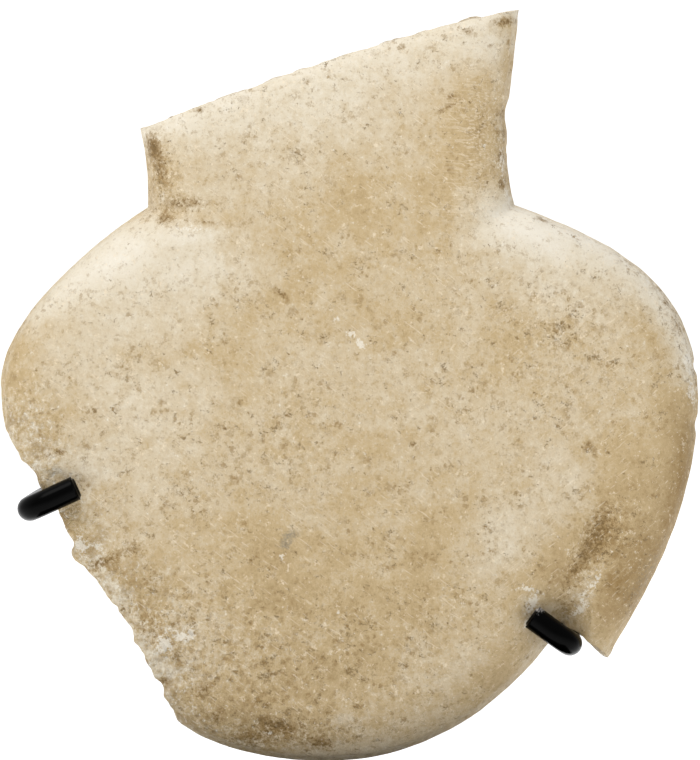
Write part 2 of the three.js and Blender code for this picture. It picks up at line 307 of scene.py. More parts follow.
# Tan patina, with painted shade along the arm's outer edge and brown marks where the hooks' fingers cast their
# shadows
PATINA_AND_SHADE = (
    (-6.4, 68.3, 5.0, 4.0, 0, 0.25),
    (-7.7, 60.5, 4.0, 4.0, 0, 0.35),
    (-14.2, 55.3, 4.5, 4.0, 0, 0.25),
    (0.0, 76.0, 4.0, 5.0, 0, 0.4),
    (5.9, 70.2, 6.0, 4.0, 0, 0.4),
    (11.7, 73.5, 3.0, 5.0, 0, 0.45),
    (-23.2, 70.2, 4.0, 1.4, 10, 0.2),
    (-16.1, 67.2, 2.6, 1.2, 0, 0.5),
    (-40.0, 55.0, 5.0, 4.0, 50, 0.2),
    (-26.5, 52.7, 4.0, 1.5, 0, 0.4),
    (-18.7, 52.7, 3.2, 1.4, -10, 0.5),
    (5.9, 56.3, 5.0, 4.5, 0, 0.1),
    (20.8, 54.0, 4.5, 4.0, 60, 0.45),
    (0.7, 20.4, 9.0, 4.0, 0, 0.4),
    (9.1, 24.2, 5.0, 5.0, 0, 0.35),
    (13.0, 33.3, 4.0, 3.0, 0, 0.4),
    (10.4, 28.1, 3.5, 2.5, 30, 0.45),
    (-9.4, 21.3, 7.0, 3.0, 0, 0.65),
    (-9.0, 27.5, 4.5, 3.5, 0, 0.6),
    (-1.2, 27.5, 4.0, 2.5, 0, 0.45),
    (0.7, 41.1, 3.0, 2.5, 0, 0.5),
    (-5.1, 11.9, 5.0, 3.0, 0, 0.6),
    (3.3, 13.2, 4.0, 3.0, 0, 0.45),
    (-16.6, 7.2, 4.0, 2.5, 0, 0.7),
    (-42.3, 48.2, 5.0, 1.6, 90, 0.4),
    (-36.8, 44.3, 4.0, 3.0, 0, 0.3),
    (-42.7, 53.4, 2.0, 2.0, 0, 0.35),
    (-7.7, 5.0, 12.0, 4.0, 0, 0.65),
    (-27.1, 20.4, 6.0, 4.0, 100, 0.3),
    # these two: brown where the hooks' fingers cast their shadows
    (-35.9, 31.4, 2.6, 1.2, 112, 0.6),
    (28.0, 19.0, 2.4, 1.4, 60, 0.4),
    (35.7, 25.5, 8.0, 5.0, 65, 1.0),
    (42.8, 33.3, 7.0, 2.5, 75, 0.9),
    (36.5, 38.5, 7.0, 4.5, -30, 0.65),
    (33.5, 33.5, 4.0, 3.0, 60, 0.6),
    (27.6, 27.0, 3.5, 2.0, 70, 0.6),
    (43.0, 40.5, 8.0, 2.4, 85, 1.0),
    (34.6, 20.0, 4.5, 3.0, 60, 0.9),
    (37.5, 26.0, 9.0, 3.5, 64, 0.6),
    (26.6, 23.2, 2.2, 1.6, 60, 0.9),
    (37.8, 56.6, 3.0, 1.6, -60, 0.7),
    (40.9, 45.0, 5.0, 2.5, 85, 0.5),
    (-14.2, 50.6, 4.0, 2.0, 90, 0.35),
    (0.0, 59.2, 4.0, 2.0, 90, 0.35),
    (10.4, 55.3, 4.0, 3.0, 0, 0.35),
    (26.0, 54.0, 3.0, 2.0, 120, 0.2),
    (2.0, 16.0, 20.0, 11.0, 0, 0.22),
    (15.6, 82.5, 6.0, 4.0, 90, 0.6),
    (20.6, 90.0, 6.0, 1.2, 95, 0.6),
    (20.0, 94.8, 2.0, 1.2, 10, 0.6),
    (-24.5, 74.7, 4.0, 2.5, 90, 0.45),
    (14.0, 6.0, 8.0, 4.0, 30, 0.4),
    (19.5, 11.5, 6.0, 3.0, 42, 0.8),
    (23.5, 24.0, 5.0, 3.0, 50, 0.5),
    # this one and the next: tan patina and painted shade along the arm's outer edge, which faces away from the
    # light
    (40.0, 22.0, 7.0, 2.6, 66, 1.2),
    (44.0, 38.0, 8.0, 2.0, 82, 0.5),
    (-14.0, 30.0, 7.0, 4.0, 0, 0.3),
    (1.0, 33.0, 4.0, 5.0, 0, 0.35),
    (4.0, 86.0, 5.0, 2.5, 10, 0.35),
    (-43.6, 49.2, 1.8, 1.2, 90, 0.7),
    (-22.0, 8.6, 2.4, 1.4, -50, 0.6),
)
SPECKLE = (
    (37.6, 64.1, 6.0, 1.6, -42, 1.0),
    (42.3, 56.6, 5.0, 1.8, -64, 1.0),
    (44.0, 49.0, 4.0, 1.5, 90, 0.5),
    (-24.3, 75.5, 4.0, 2.4, 90, 0.6),
    (26.0, 55.0, 4.5, 3.0, 0, 0.4),
    (-24.0, 18.0, 7.0, 4.0, 115, 0.6),
    (-10.0, 4.5, 9.0, 3.0, 0, 0.7),
    (17.5, 80.0, 8.0, 3.0, 90, 0.3),
    (34.0, 27.0, 7.0, 3.5, 60, 0.5),
    (-12.0, 13.0, 12.0, 8.0, -20, 0.5),
    (27.5, 69.0, 6.0, 1.2, -25, 0.4),
    (-14.0, 41.0, 10.0, 7.0, 0, 0.25),
    (3.0, 17.0, 16.0, 9.0, 0, 0.3),
    (27.0, 52.0, 9.0, 8.0, 0, 0.25),
)
CRUMBLY = (
    (30.5, 23.5, 6.5, 2.6, 58, 0.9),
    (33.0, 30.0, 4.0, 2.4, 60, 0.6),
    (40.5, 60.5, 8.0, 1.8, -52, 0.8),
    (27.0, 69.2, 5.0, 1.2, -25, 0.4),
    (19.5, 79.0, 6.5, 0.9, 92, 0.9),
    (-24.5, 76.0, 5.0, 1.4, 95, 0.6),
    (-11.0, 3.5, 9.0, 2.5, 0, 0.7),
    (-40.0, 43.5, 4.5, 2.2, -60, 0.6),
    (-12.0, 13.0, 12.0, 8.0, -20, 0.4),
)
# Grey stains on the body, and painted shade along the arm's outer edge
GREY_STAIN_AND_SHADE = (
    (-7.6, 29.2, 1.7, 1.0, 30, 0.9),
    (-8.3, 27.8, 1.0, 0.6, 0, 0.7),
    # painted shade: greys the arm's lower outer edge, which faces away from the light
    (38.8, 23.5, 8.5, 3.0, 62, 0.6),
)
GRINDING = (
    (16.2, 80.5, 9.0, 4.2, 90, 1.0),
    (15.5, 71.5, 4.0, 2.0, 0, 0.6),
)

# Hooks: where the wire passes the idol's edge, the way its finger points, how far its side leans in, how far
# its cut end reaches from there, and how scuffed that end is
HOOKS = {
    "left_hook": {
        "side": mm(-41.3, 32.5),
        "angle": math.radians(24.6),
        "closing": 1.6 * MM,
        "finger": 7.1 * MM,
        "scuff": 0.6,
    },
    "right_hook": {
        "side": mm(28.35, 15.25),
        "angle": math.radians(144),
        "closing": 0.0,
        "finger": 6.25 * MM,
        "scuff": 1.6,
    },
}


class IdolForm(bpy.types.PropertyGroup):
    """Shape of the marble idol."""

    rings: IntProperty(name="Rings", description="Rings of facets on the front, even", default=132, min=8)
    rim_rows: IntProperty(name="Rim rows", description="Rows of facets round the edge", default=4, min=2)
    flank_thickness: FloatProperty(
        name="Flank thickness",
        description="Thickness where the rounding of the edge begins, far from the middle",
        default=10.6 * MM,
        unit="LENGTH",
    )
    edge_rounding: FloatProperty(
        name="Edge rounding",
        description="Width of the rounding that was ground along every worked edge",
        default=7.0 * MM,
        unit="LENGTH",
    )
    edge_land: FloatProperty(
        name="Edge land",
        description="Share of the thickness that is left upright at a worked edge",
        default=0.3,
        subtype="FACTOR",
    )
    edge_bulge: FloatProperty(
        name="Edge bulge",
        description="How far the middle of a worked edge stands out past its sides",
        default=0.5 * MM,
        unit="LENGTH",
    )
    arris_wear: FloatProperty(
        name="Arris wear",
        description="Share of the thickness worn off the arris of a break",
        default=0.2,
        subtype="FACTOR",
    )
    arris_width: FloatProperty(
        name="Arris width",
        description="Reach of that wear from the break",
        default=1.3 * MM,
        unit="LENGTH",
    )


class MarbleFinish(bpy.types.PropertyGroup):
    """Colours of the marble, as linear colour."""

    pale: FloatVectorProperty(
        name="Pale stone", description="Clean cream stone", subtype="COLOR", default=(0.80, 0.71, 0.55)
    )
    tan: FloatVectorProperty(
        name="Patina", description="Tan patina", subtype="COLOR", default=(0.60, 0.452, 0.248)
    )
    freckle: FloatVectorProperty(
        name="Freckles", description="Brown freckles and specks", subtype="COLOR", default=(0.33, 0.205, 0.07)
    )
    # also painted shade in the arm's fold and in the creases
    dirt: FloatVectorProperty(
        name="Dirt", description="Soil in pits and creases", subtype="COLOR", default=(0.19, 0.115, 0.038)
    )
    # also painted highlight where the marks hold it
    fresh: FloatVectorProperty(
        name="Fresh stone", description="White new chips", subtype="COLOR", default=(0.92, 0.86, 0.74)
    )
    grain: FloatVectorProperty(
        name="Light grain", description="Pale grains, scratches", subtype="COLOR", default=(0.94, 0.81, 0.61)
    )
    # also used for painted shade along the arm's outer edge
    grey: FloatVectorProperty(
        name="Grey stain", description="Grey stain", subtype="COLOR", default=(0.30, 0.26, 0.19)
    )


class CradleForm(bpy.types.PropertyGroup):
    """Shape and paint of the cradle."""

    wire_diameter: FloatProperty(
        name="Wire", description="Diameter of the hooks' wire", default=3.2 * MM, unit="LENGTH"
    )
    bend_radius: FloatProperty(
        name="Bend", description="Reach of a hook's bends", default=3.0 * MM, unit="LENGTH"
    )
    lift: FloatProperty(
        name="Lift", description="How much higher a hook is at the back", default=0.45 * MM, unit="LENGTH"
    )
    foot_corner: FloatProperty(
        name="Foot corner", description="Radius of the plate's corners", default=4.8 * MM, unit="LENGTH"
    )
    foot_bevel: FloatProperty(
        name="Foot bevel", description="Rounding of the plate's edges", default=0.8 * MM, unit="LENGTH"
    )
    paint: FloatVectorProperty(
        name="Paint", description="Black paint", subtype="COLOR", default=(0.0012, 0.0012, 0.0012)
    )
    scuff: FloatVectorProperty(
        name="Scuffs", description="Bare and dusty scuffs", subtype="COLOR", default=(0.42, 0.40, 0.38)
    )


class StageForm(bpy.types.PropertyGroup):
    """Camera, light and floor."""

    camera_distance: FloatProperty(
        name="Camera distance", description="From the idol's middle plane", default=1.1, unit="LENGTH"
    )
    pixel: FloatProperty(
        name="Pixel", description="Size of a pixel at the idol", default=0.1291 * MM, unit="LENGTH"
    )
    key_power: FloatProperty(
        name="Key light", description="Power of the soft light above", default=1.82, unit="POWER"
    )
    sky: FloatProperty(name="Sky", description="Brightness of the even light all round", default=0.375)
    backdrop: FloatProperty(
        name="Backdrop", description="Brightness added from behind on the left", default=0.45
    )
    bounce: FloatProperty(name="Bounce", description="Brightness added from below", default=1.2)
    floor: FloatVectorProperty(
        name="Floor", description="Colour of the pale floor", subtype="COLOR", default=(0.9, 0.9, 0.9)
    )


# Noise and other fields in numpy


HASH_PRIMES = np.array([73856093, 19349663, 83492791])


def hashed(cells, seed):
    """A repeatable random number from -1 to 1 for each whole-numbered lattice point."""
    mixed = cells @ HASH_PRIMES[: cells.shape[-1]] + seed * 668265263
    mixed = (mixed ^ (mixed >> 13)) * 1274126177
    mixed = mixed ^ (mixed >> 16)
    return (mixed & 0xFFFF) / 32767.5 - 1


def smooth_noise(points, cell, seed):
    """Random values on a cubic lattice with the given cell, eased from one lattice point to the next."""
    grid = points / cell
    base = np.floor(grid).astype(np.int64)
    ease = grid - base
    ease = ease * ease * (3 - 2 * ease)
    corners = itertools.product((0, 1), repeat=points.shape[-1])
    return sum(
        np.prod(np.where(corner, ease, 1 - ease), axis=-1) * hashed(base + np.array(corner), seed)
        for corner in corners
    )


def layered_noise(points, cell, layers, seed):
    """Smooth noise plus ever finer noise: each layer has half the cell and height of the one before."""
    return sum(smooth_noise(points, cell / 2**k, seed + k) / 2**k for k in range(layers))


def marked(plan, marks):
    """How strongly marks cover a point: the sum of exp(-(distance over size) squared) over the ellipses."""
    right, up, length, width, turn, strength = np.array(marks, float).T
    turn = np.radians(turn)
    x = plan[:, :1] - right * MM
    y = plan[:, 1:] - up * MM
    along = (x * np.cos(turn) + y * np.sin(turn)) / (length * MM)
    across = (y * np.cos(turn) - x * np.sin(turn)) / (width * MM)
    return (strength * np.exp(-(along**2) - across**2)).sum(1)


def scooped(plan, scoops):
    """Depth of round shallow scoops: each runs out as the square of one minus its distance squared."""
    right, up, radius, depth = np.array(scoops, float).T * MM
    reach = np.hypot(plan[:, :1] - right, plan[:, 1:] - up) / radius
    return (depth * np.clip(1 - reach**2, 0, None) ** 2).sum(1)


# The idol's surface

DOME_REACH = (1.04, 1.16)  # where the dome of a face runs out, in shares of the idol's width and height
RING_CROWDING = 0.45  # 0 spaces the rings of facets evenly, 1 crowds them fully towards the edge
CHIPPED_BAND = 5.5 * MM  # width of the chipped band beside the left break
CHIP_COUNT = 90
FACES = {"front": {"seed": 3, "pits": 150}, "back": {"seed": 7, "pits": 90}}

# The stone's own unevenness: height and size of its lumps, everywhere and in the chipped band
WAVES = {"height": 0.10 * MM, "size": 11 * MM}
DIMPLES = {"height": 0.02 * MM, "size": 2 * MM}
CRAGS = {"height": 0.15 * MM, "size": 2 * MM}
RIM_CRAGS = {"height": 0.45 * MM, "size": 3 * MM}


def sample_outline(count):
    """count points round the outline, evenly spaced along each edge, and the kind of edge at each one."""
    lines = [curve(points, np.linspace(0, 1, CURVE_STEPS)) for _, curve, points in EDGES]
    walks = [np.append(0, np.cumsum(np.hypot(*np.diff(line, axis=0).T))) for line in lines]
    lengths = np.array([walk[-1] for walk in walks])
    ends = np.rint(count * np.append(0, np.cumsum(lengths)) / lengths.sum()).astype(int)
    spots, kinds = [], []
    for (kind, _, _), line, walk, steps in zip(EDGES, lines, walks, np.diff(ends)):
        stations = np.arange(steps) / steps * walk[-1]
        spots.append(np.column_stack([np.interp(stations, walk, line[:, axis]) for axis in (0, 1)]))
        kinds += [kind] * steps
    return np.concatenate(spots), np.array(kinds)


def softened(values, reach):
    """Values round a closed line, each averaged with its neighbours up to reach steps away."""
    return sum(np.roll(values, k, axis=0) for k in range(-reach, reach + 1)) / (2 * reach + 1)


def outward(outline):
    """The outline's outward direction at each of its points: its course turned a quarter clockwise."""
    course = softened(np.roll(outline, -1, axis=0) - np.roll(outline, 1, axis=0), 2)
    course /= np.linalg.norm(course, axis=1)[:, None]
    return np.column_stack([course[:, 1], -course[:, 0]])


def worn_outline(count):
    """The outline with its small bites and its raggedness, moved along its outward direction."""
    outline, kinds = sample_outline(count)
    height = softened(np.array([RAGGEDNESS[kind] for kind in kinds]), 6)
    wander = height * layered_noise(outline, 2.4 * MM, 3, seed=11)
    return outline + outward(outline) * (wander - scooped(outline, NOTCHES))[:, None], kinds


def distance_to(plan, outline, chosen):
    """Distance from each point to the nearest of the chosen straight steps of the outline."""
    start = outline[chosen]
    step = np.roll(outline, -1, axis=0)[chosen] - start
    nearest = np.empty(len(plan))
    for part in np.array_split(np.arange(len(plan)), 1 + len(plan) * len(start) // 2_000_000):
        offset = plan[part, None] - start
        share = np.clip((offset * step).sum(-1) / (step**2).sum(-1), 0, 1)
        nearest[part] = np.linalg.norm(offset - share[..., None] * step, axis=-1).min(1)
    return nearest


def square_rings(count):
    """A square grid of 2 * count cells a side, as rings: each point's ring from 0 to 1, and its share of the
    way round that ring, counter-clockwise from the lower right corner."""
    steps = np.arange(-count, count + 1)
    column, row = np.meshgrid(steps, steps)
    ring = np.maximum(abs(column), abs(row))
    walked = np.select(
        [column == ring, row == ring, column == -ring],
        [row + ring, 3 * ring - column, 5 * ring - row],
        7 * ring + column,
    )
    return ring.ravel() / count, (walked / np.maximum(8 * ring, 1)).ravel()


def laid_inside(outline, ring, around):
    """Each ring of the grid is the outline drawn smaller about one centre; rings crowd towards the edge."""
    scale = ring + RING_CROWDING * (np.sin(np.pi / 2 * ring) - ring)
    closed = np.vstack([outline, outline[:1]])
    stations = np.linspace(0, 1, len(closed))
    spots = np.column_stack([np.interp(around, stations, closed[:, axis]) for axis in (0, 1)])
    return RING_CENTRE + (spots - RING_CENTRE) * scale[:, None]


def slab_depth(plan, edge, form):
    """Half the thickness before the hollows: a low dome, rounded off at worked edges, blunt at breaks."""
    size = np.array([IDOL_HIGH.x - IDOL_LOW.x, IDOL_HIGH.z - IDOL_LOW.z]) * DOME_REACH
    crown = np.clip(1 - ((2 * (plan - MIDDLE) / size) ** 2).sum(1), 0, 1)
    middle_thickness = IDOL_HIGH.y - IDOL_LOW.y
    dome = (form.flank_thickness + (middle_thickness - form.flank_thickness) * crown) / 2
    inset = np.clip(edge["worked"] / form.edge_rounding, 0, 1)
    rounding = form.edge_land + (1 - form.edge_land) * np.sqrt(1 - (1 - inset) ** 2)
    broken = np.minimum(np.minimum(edge["neck"], edge["side"]), edge["stump"])
    return dome * rounding * (1 - form.arris_wear * np.exp(-broken / form.arris_width))


def trough_depth(plan):
    """Depth of the soft troughs: a bell across the line, fading from its start to its end."""
    depth = np.zeros(len(plan))
    for start, end, width, most in TROUGHS:
        share = np.clip((plan - start) @ (end - start) / ((end - start) ** 2).sum(), 0, 1)
        distance = np.linalg.norm(plan - start - share[:, None] * (end - start), axis=1)
        depth += most * (1 - share) * np.exp(-((distance / width) ** 2))
    return depth


def break_band(edge):
    """1 at the left break, fading over the chipped band beside it."""
    return np.exp(-((edge["side"] / CHIPPED_BAND) ** 2))


def chips(outline, kinds, seed):
    """Small scoops scattered over the chipped band: right, up, radius, depth (mm). Each starts from a point
    of the left break and moves inwards by a random way, short more often than long."""
    rng = np.random.default_rng(seed)
    along = outline[kinds == "side"]
    spots = along[rng.integers(0, len(along), CHIP_COUNT)] / MM
    inward = MIDDLE / MM - spots
    inward /= np.linalg.norm(inward, axis=1)[:, None]
    spots = spots + inward * rng.gamma(1.5, 2.2, CHIP_COUNT)[:, None] + rng.normal(0, 0.8, spots.shape)
    radius = rng.uniform(0.7, 2.0, CHIP_COUNT)
    return np.column_stack([spots, radius, radius * rng.uniform(0.05, 0.14, CHIP_COUNT)])


def pits(name):
    """Little pits scattered evenly over one face: right, up, radius, depth (mm)."""
    rng = np.random.default_rng(FACES[name]["seed"])
    count = FACES[name]["pits"]
    spots = rng.uniform((-45, 0), (45, 97), (count, 2))
    radius = rng.uniform(0.4, 0.8, count)
    return np.column_stack([spots, radius, radius * rng.uniform(0.04, 0.1, count)])


def lumps(points, kind, layers, seed):
    """Layered noise of the given height and size."""
    return kind["height"] * layered_noise(points, kind["size"], layers, seed)


def face_depth(name, plan, edge, outline, kinds, form):
    """Depth of one face: the slab less its flakes, hollows, chips and pits, and the stone's unevenness."""
    seed = FACES[name]["seed"]
    depth = slab_depth(plan, edge, form)
    depth -= scooped(plan, FLAKES) * FLAKE_SHARE[name]
    if name == "front":
        depth -= trough_depth(plan)
    depth -= scooped(plan, chips(outline, kinds, seed)) * np.clip(2 * break_band(edge), 0, 1)
    depth -= scooped(plan, pits(name))
    depth += lumps(plan, WAVES, 2, seed) + lumps(plan, DIMPLES, 2, seed + 5)
    return depth + lumps(plan, CRAGS, 3, seed + 9) * break_band(edge)


def grid_triangles(side):
    """Corner numbers of a square grid's cells, counter-clockwise, each cut in two along the line that points
    most nearly at the middle."""
    corner = np.arange(side * side).reshape(side, side)
    a, b, c, d = corner[:-1, :-1], corner[:-1, 1:], corner[1:, 1:], corner[1:, :-1]
    half = np.arange(side - 1) >= (side - 1) // 2
    same = (half[:, None] == half)[..., None, None]
    rising = np.stack([np.stack([a, b, c], -1), np.stack([a, c, d], -1)], -2)
    falling = np.stack([np.stack([a, b, d], -1), np.stack([b, c, d], -1)], -2)
    return np.where(same, rising, falling).reshape(-1, 3)


def outer_ring(ring, around):
    """Numbers of a grid's outermost points, in order round the outline."""
    outer = np.flatnonzero(ring == 1)
    return outer[np.argsort(around[outer])]


def idol_surface(form):
    """The whole skin: a fine grid for the front, a grid half as fine for the back, rim rows between them, and
    masks for the finish. Returns points, faces and masks."""
    outline, kinds = worn_outline(8 * form.rings)
    ways_out = outward(outline)
    worked = softened((kinds == "worked").astype(float), 10)
    inner = outline - ways_out * (worked * form.edge_bulge)[:, None]

    front_ring, front_around = square_rings(form.rings)
    back_ring, back_around = square_rings(form.rings // 2)
    share = np.arange(1, form.rim_rows)[:, None] / form.rim_rows
    arch = np.sqrt(1 - (2 * share - 1) ** 2)
    rim_plan = inner + ways_out * (arch * worked * form.edge_bulge)[..., None]
    plan = np.concatenate([
        laid_inside(inner, front_ring, front_around),
        laid_inside(inner, back_ring, back_around),
        rim_plan.reshape(-1, 2),
    ])
    back_first = front_ring.size
    rim_first = back_first + back_ring.size
    front = slice(0, back_first)
    back = slice(back_first, rim_first)
    near = {kind: distance_to(plan, inner, kinds == kind) for kind in RAGGEDNESS}
    near_front = {kind: distance[front] for kind, distance in near.items()}
    near_back = {kind: distance[back] for kind, distance in near.items()}
    front_depth = face_depth("front", plan[front], near_front, outline, kinds, form)
    back_depth = face_depth("back", plan[back], near_back, outline, kinds, form)

    front_rim = outer_ring(front_ring, front_around)
    back_rim = outer_ring(back_ring, back_around)
    stations = np.arange(len(outline))
    front_y = -front_depth[front_rim]
    back_y = np.interp(stations, stations[::2], back_depth[back_rim], period=len(outline))
    rim_y = front_y + (back_y - front_y) * share
    rim_points = np.dstack([rim_plan[..., 0], rim_y, rim_plan[..., 1]])
    crumble = arch * (1 - worked) * lumps(rim_points, RIM_CRAGS, 3, seed=21)
    plan[rim_first:] += (ways_out * crumble[..., None]).reshape(-1, 2)
    depth = np.concatenate([-front_depth, back_depth, rim_y.ravel()])
    points = np.column_stack([plan[:, 0], IDOL_MIDDLE_Y + depth, IDOL_LOW.z + plan[:, 1]])

    rim = rim_first + np.arange(rim_y.size).reshape(rim_y.shape)
    rows = np.vstack([front_rim, rim])
    after = np.roll(rows, -1, axis=1)
    wall = np.stack([rows[:-1], rows[1:], after[1:], after[:-1]], -1).reshape(-1, 4)
    fine = rows[-1].reshape(-1, 2)
    fine_next = np.roll(fine[:, 0], -1)
    coarse = back_first + back_rim
    coarse_next = np.roll(coarse, -1)
    triangles = np.vstack([
        grid_triangles(2 * form.rings + 1),
        back_first + grid_triangles(2 * (form.rings // 2) + 1)[:, ::-1],
        np.column_stack([fine[:, 0], coarse, fine[:, 1]]),
        np.column_stack([fine[:, 1], coarse, coarse_next]),
        np.column_stack([fine[:, 1], coarse_next, fine_next]),
    ])

    on_front = np.concatenate([
        np.ones(back_first),
        np.zeros(rim_first - back_first),
        np.repeat((1 - share) ** 2, len(outline)),
    ])
    masks = surface_masks(plan, near, on_front)
    masks["broken"][rim_first:] = np.maximum(masks["broken"][rim_first:], np.tile(1 - worked, share.size))
    return points, triangles.tolist() + wall.tolist(), masks


def surface_masks(plan, near, on_front):
    """Where each kind of stain, wear, roughness, painted light and painted shade lies: the marks' sums, and
    bells of the distance to an edge. The neck's break is cleaner and more speckled, and the lower edge is
    painted lighter with less patina, against its shade."""
    in_pits = np.where(on_front > 0.5, scooped(plan, pits("front")), scooped(plan, pits("back")))
    neck_rim = np.exp(-((near["neck"] / (2 * MM)) ** 2))
    neck_strip = np.exp(-((near["neck"] / (3 * MM)) ** 2))
    # Painted light: the lower worked edges get less patina, so paler stone, against the shade that falls on
    # them
    painted_light_low_edge = np.exp(-((near["worked"] / (4 * MM)) ** 2)) * np.clip(1.3 - plan[:, 1] / (40 * MM), 0, 1)
    return {
        "broken": np.clip(break_band(near) + 0.5 * on_front * marked(plan, CRUMBLY), 0, 1),
        "dirt": on_front * marked(plan, DIRT_AND_SHADE) + 0.4 * np.clip(in_pits / (0.04 * MM), 0, 1),
        "fresh": on_front * marked(plan, FRESH_AND_HIGHLIGHT),
        "clean": on_front * marked(plan, CLEAN_AND_HIGHLIGHT) + 0.7 * neck_rim,
        # patina, less on the lower edges as painted light; its marks hold painted shade too
        "patina": on_front * marked(plan, PATINA_AND_SHADE) + 0.35 * (1 - on_front) - 0.25 * painted_light_low_edge,
        "speckle": on_front * marked(plan, SPECKLE) + 0.35 * neck_strip,
        "grey": on_front * marked(plan, GREY_STAIN_AND_SHADE),
        "grinding": on_front * marked(plan, GRINDING),
    }


# Finishes


class Finish:
    """A finish written one step at a time: each step adds a node and returns the socket with its result."""

    def __init__(self, owner):
        owner.use_nodes = True
        self.owner = owner
        self.tree = owner.node_tree
        self.tree.nodes.clear()

    def step(self, kind, inputs, output=0, **settings):
        """A node with its settings, its inputs set or linked, and one of its outputs returned."""
        node = self.tree.nodes.new(kind)
        for name, value in settings.items():
            setattr(node, name, value)
        for key, value in inputs.items():
            if isinstance(value, bpy.types.NodeSocket):
                self.tree.links.new(value, node.inputs[key])
            else:
                node.inputs[key].default_value = value
        return node.outputs[output]

    def sum(self, *values):
        """All the values added up."""
        total = values[0]
        for value in values[1:]:
            total = self.step("ShaderNodeMath", {0: total, 1: value}, operation="ADD")
        return total

    def times(self, *values):
        """All the values multiplied."""
        product = values[0]
        for value in values[1:]:
            product = self.step("ShaderNodeMath", {0: product, 1: value}, operation="MULTIPLY")
        return product

    def centred(self, value, height):
        """A value from 0 to 1 moved to lie about 0, and scaled."""
        return self.step("ShaderNodeMath", {0: value, 1: height, 2: -height / 2}, operation="MULTIPLY_ADD")

    def ramp(self, value, low, high, start=0.0, end=1.0):
        """start below low, end above high, eased in between."""
        inputs = {0: value, 1: low, 2: high, 3: start, 4: end}
        return self.step("ShaderNodeMapRange", inputs, interpolation_type="SMOOTHSTEP")

    def tint(self, colour, mask, strength, other):
        """The colour, turned to the other one as far as the mask times the strength."""
        inputs = {0: self.times(mask, strength), 6: colour, 7: opaque(other)}
        return self.step("ShaderNodeMix", inputs, output=2, data_type="RGBA")

    def shades(self, value, stops):
        """A row of colours along a value from 0 to 1."""
        colour = self.step("ShaderNodeValToRGB", {0: value})
        row = colour.node.color_ramp.elements
        for place, shade in stops[1:-1]:
            row.new(place)
        for stop, (place, shade) in zip(row, stops):
            stop.position = place
            stop.color = opaque(shade)
        return colour

    def millimetres(self):
        """Place on the object in millimetres."""
        place = self.step("ShaderNodeTexCoord", {}, output=3)
        return self.step("ShaderNodeVectorMath", {0: place, 3: 1 / MM}, operation="SCALE")

    def turned(self, place, turn, sizes):
        """The place measured along axes turned about the depth axis, in units of the given sizes."""
        inputs = {"Vector": place, "Rotation": (0, math.radians(turn), 0), "Scale": sizes}
        return self.step("ShaderNodeMapping", inputs, vector_type="TEXTURE")

    def noise(self, place, scale, detail=2.0, roughness=0.5):
        """Layered noise with about scale lumps a millimetre."""
        inputs = {"Vector": place, "Scale": scale, "Detail": detail, "Roughness": roughness}
        return self.step("ShaderNodeTexNoise", inputs)

    def warped(self, place, scale, reach):
        """The place pushed about by noise, up to about reach millimetres."""
        push = self.step("ShaderNodeTexNoise", {"Vector": place, "Scale": scale, "Detail": 2.0}, output=1)
        inputs = {0: push, 1: (reach, reach, reach), 2: (-reach / 2, -reach / 2, -reach / 2)}
        push = self.step("ShaderNodeVectorMath", inputs, operation="MULTIPLY_ADD")
        return self.step("ShaderNodeVectorMath", {0: place, 1: push}, operation="ADD")

    def dots(self, place, scale, size, fewness, edge):
        """Dots, one in a cell of 1 / scale millimetres, kept only where the cell's own number is over
        fewness. A dot ends where the distance over its radius, moved by the edge's noise, passes 1."""
        cell = {"Vector": place, "Scale": scale, "Randomness": 1.0}
        near = self.step("ShaderNodeTexVoronoi", cell)
        red = self.step("ShaderNodeSeparateColor", {0: near.node.outputs["Color"]})
        green = red.node.outputs["Green"]
        radius = self.step("ShaderNodeMath", {0: green, 1: size, 2: size * 0.5}, operation="MULTIPLY_ADD")
        close = self.sum(self.step("ShaderNodeMath", {0: near, 1: radius}, operation="DIVIDE"), edge)
        kept = self.step("ShaderNodeMath", {0: red, 1: fewness}, operation="GREATER_THAN")
        return self.times(self.ramp(close, 1.0, 0.55), kept)

    def streaks(self, place, turn, width, length, low, high):
        """Fine scratches: noise drawn out along one direction, with only its crests kept."""
        drawn = self.turned(place, turn, (length, width, width))
        return self.ramp(self.noise(drawn, 1.0, 1.0), low, high)

    def mask(self, name):
        """One of the surface's own masks."""
        return self.step("ShaderNodeAttribute", {}, output=2, attribute_name=name)

    def surface(self, height, **inputs):
        """The finished surface, with its relief in millimetres."""
        inputs["Normal"] = self.step("ShaderNodeBump", {"Strength": 1.0, "Distance": MM, "Height": height})
        sockets = {key.replace("_", " "): value for key, value in inputs.items()}
        shader = self.step("ShaderNodeBsdfPrincipled", sockets)
        self.end("ShaderNodeOutputMaterial", shader)
        return self.owner

    def end(self, kind, shader):
        """The node that hands the finish over."""
        self.tree.links.new(shader, self.tree.nodes.new(kind).inputs["Surface"])


def opaque(colour):
    """A colour property as a socket's four numbers."""
    return (*colour, 1.0)


